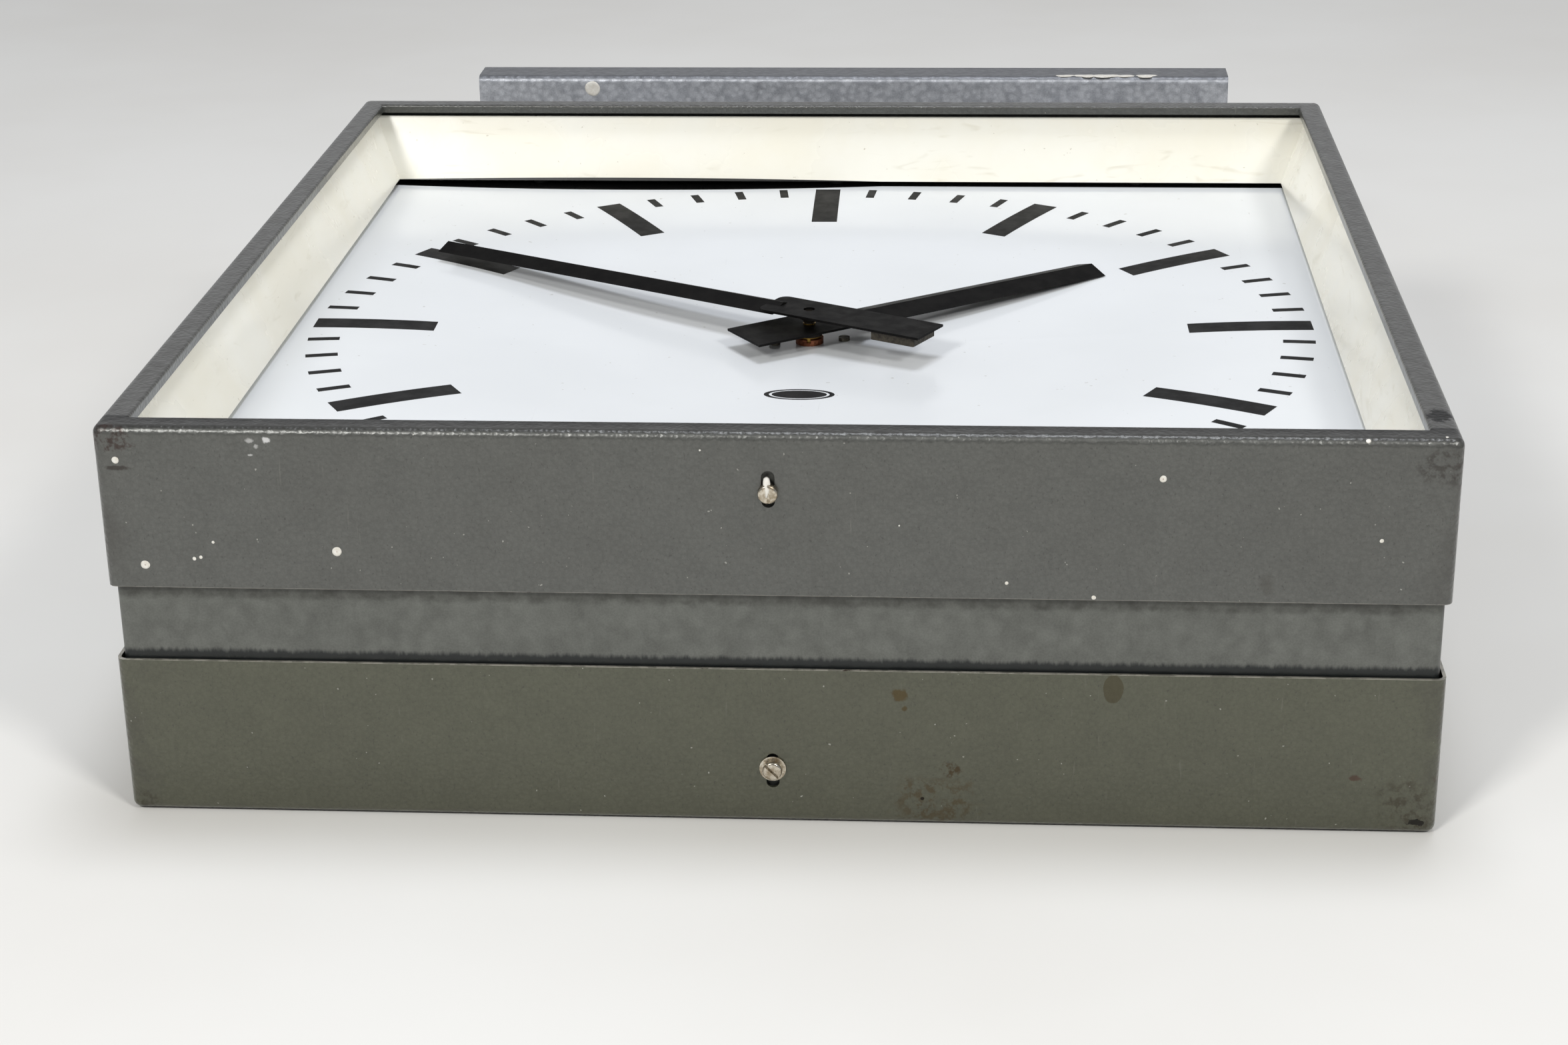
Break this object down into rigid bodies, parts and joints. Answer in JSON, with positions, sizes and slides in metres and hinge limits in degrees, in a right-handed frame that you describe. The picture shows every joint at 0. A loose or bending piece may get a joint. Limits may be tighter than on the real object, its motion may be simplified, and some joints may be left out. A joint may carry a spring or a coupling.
{
  "type": "double-sided slave clock",
  "caption": "Square double-sided hanging clock: grey sheet case, deep covers, cream bezels, white dished dials, roof-shaped black hands, gear trains and a ceiling bracket.",
  "frame": {"origin": "bottom centre of the whole clock with its bracket, on the plane of the rear face it lies on", "axes": "+Z out of the front dial, +Y from six o'clock to twelve o'clock towards the ceiling bracket, +X to the right of the front dial"},
  "size_m": [0.48, 0.6456, 0.152],
  "materials": {
    "front_cover_hammertone": "mid-grey hammertone enamel, scuffed, with bare bright edges",
    "rear_cover_hammertone": "olive-grey enamel with brown stains",
    "grey_hammertone": "coarse grey hammertone enamel",
    "bracket_hammertone": "blue-grey hammertone enamel",
    "cream_enamel": "glossy cream enamel",
    "white_dial": "glossy white sheet with black printed marks",
    "plain_steel": "mill-finish steel",
    "black_rubber": "matt rubber",
    "zinc_fasteners": "zinc plated",
    "nickel_screws": "nickel plated, tarnished",
    "black_hands": "matt black enamel",
    "weight_steel": "brown-black oxide",
    "dark_brass": "tarnished almost black",
    "brass": "satin",
    "bright_steel": "ground",
    "core_iron": "varnished laminations",
    "coil_winding": "enamelled copper wire between bobbin cheeks",
    "copper_nut": "dull copper colour",
    "bakelite": "moulded bakelite"
  },
  "bodies": {
    "clock_case": {"case": "grey_hammertone", "bracket": "bracket_hammertone", "left_leg": "bracket_hammertone", "right_leg": "bracket_hammertone", "foot_bolts": "zinc_fasteners", "head_bolts": "zinc_fasteners", "top_stiffener": "plain_steel", "terminal_block": "bakelite", "wire_grommet": "black_rubber", "front_cover_screw": "nickel_screws", "rear_cover_screw": "nickel_screws", "rear_cover_washer": "nickel_screws", "front_shroud": "cream_enamel", "front_dial": "white_dial", "front_dial_frame": "plain_steel", "front_shroud_spacers": "black_rubber", "front_shroud_screws": "zinc_fasteners", "front_clinch_nut": "zinc_fasteners", "front_movement_front_plate": "brass", "front_movement_back_plate": "brass", "front_movement_pillars": "brass", "front_stator": "core_iron", "front_coil": "coil_winding", "front_fixing_nut": "copper_nut", "front_dial_screws": "zinc_fasteners", "rear_shroud": "cream_enamel", "rear_dial": "white_dial", "rear_dial_frame": "plain_steel", "rear_shroud_spacers": "black_rubber", "rear_shroud_screws": "zinc_fasteners", "rear_clinch_nut": "zinc_fasteners", "rear_movement_front_plate": "brass", "rear_movement_back_plate": "brass", "rear_movement_pillars": "brass", "rear_stator": "core_iron", "rear_coil": "coil_winding", "rear_fixing_nut": "copper_nut", "rear_dial_screws": "zinc_fasteners"},
    "front_cover_shell": {"front_cover": "front_cover_hammertone"},
    "front_minute_works": {"front_minute_hand": "black_hands", "front_minute_counterweight": "weight_steel", "front_minute_collet": "dark_brass", "front_minute_arbor": "bright_steel"},
    "front_hour_works": {"front_hour_hand": "black_hands", "front_hour_collet": "dark_brass", "front_hour_wheel": "brass"},
    "front_motion_works": {"front_motion_wheel": "brass"},
    "front_middle_works": {"front_middle_wheel": "brass"},
    "front_rotor_works": {"front_rotor": "bright_steel"},
    "rear_cover_shell": {"rear_cover": "rear_cover_hammertone"},
    "rear_minute_works": {"rear_minute_hand": "black_hands", "rear_minute_counterweight": "weight_steel", "rear_minute_collet": "dark_brass", "rear_minute_arbor": "bright_steel"},
    "rear_hour_works": {"rear_hour_hand": "black_hands", "rear_hour_collet": "dark_brass", "rear_hour_wheel": "brass"},
    "rear_motion_works": {"rear_motion_wheel": "brass"},
    "rear_middle_works": {"rear_middle_wheel": "brass"},
    "rear_rotor_works": {"rear_rotor": "bright_steel"}
  },
  "joints": [
    {"name": "front_cover_slide", "type": "slide", "parent": "clock_case", "child": "front_cover_shell", "axis": [0, 0, 1], "range_m": [0, 0.003]},
    {"name": "front_minute_turn", "type": "hinge", "parent": "clock_case", "child": "front_minute_works", "pos_m": [0, -0.07917, 0.1048], "axis": [0, 0, 1], "continuous": true},
    {"name": "front_hour_turn", "type": "hinge", "parent": "clock_case", "child": "front_hour_works", "pos_m": [0, -0.07917, 0.1048], "axis": [0, 0, 1], "continuous": true},
    {"name": "front_motion_turn", "type": "hinge", "parent": "clock_case", "child": "front_motion_works", "pos_m": [-0.01247, -0.07197, 0.1048], "axis": [0, 0, 1], "continuous": true},
    {"name": "front_middle_turn", "type": "hinge", "parent": "clock_case", "child": "front_middle_works", "pos_m": [0, -0.09598, 0.1048], "axis": [0, 0, 1], "continuous": true},
    {"name": "front_rotor_turn", "type": "hinge", "parent": "clock_case", "child": "front_rotor_works", "pos_m": [0, -0.10798, 0.1048], "axis": [0, 0, 1], "continuous": true},
    {"name": "rear_cover_slide", "type": "slide", "parent": "clock_case", "child": "rear_cover_shell", "axis": [0, 0, -1], "range_m": [0, 0.003]},
    {"name": "rear_minute_turn", "type": "hinge", "parent": "clock_case", "child": "rear_minute_works", "pos_m": [0, -0.07917, 0.0472], "axis": [0, 0, -1], "continuous": true},
    {"name": "rear_hour_turn", "type": "hinge", "parent": "clock_case", "child": "rear_hour_works", "pos_m": [0, -0.07917, 0.0472], "axis": [0, 0, -1], "continuous": true},
    {"name": "rear_motion_turn", "type": "hinge", "parent": "clock_case", "child": "rear_motion_works", "pos_m": [0.01247, -0.07197, 0.0472], "axis": [0, 0, -1], "continuous": true},
    {"name": "rear_middle_turn", "type": "hinge", "parent": "clock_case", "child": "rear_middle_works", "pos_m": [0, -0.09598, 0.0472], "axis": [0, 0, -1], "continuous": true},
    {"name": "rear_rotor_turn", "type": "hinge", "parent": "clock_case", "child": "rear_rotor_works", "pos_m": [0, -0.10798, 0.0472], "axis": [0, 0, -1], "continuous": true}
  ],
  "couplings": [
    {"joint": "front_hour_turn", "follows": "front_minute_turn", "ratio": 0.083333},
    {"joint": "front_motion_turn", "follows": "front_minute_turn", "ratio": -0.33333},
    {"joint": "front_middle_turn", "follows": "front_minute_turn", "ratio": -6},
    {"joint": "front_rotor_turn", "follows": "front_minute_turn", "ratio": 30},
    {"joint": "rear_hour_turn", "follows": "rear_minute_turn", "ratio": 0.083333},
    {"joint": "rear_motion_turn", "follows": "rear_minute_turn", "ratio": -0.33333},
    {"joint": "rear_middle_turn", "follows": "rear_minute_turn", "ratio": -6},
    {"joint": "rear_rotor_turn", "follows": "rear_minute_turn", "ratio": 30}
  ]
}
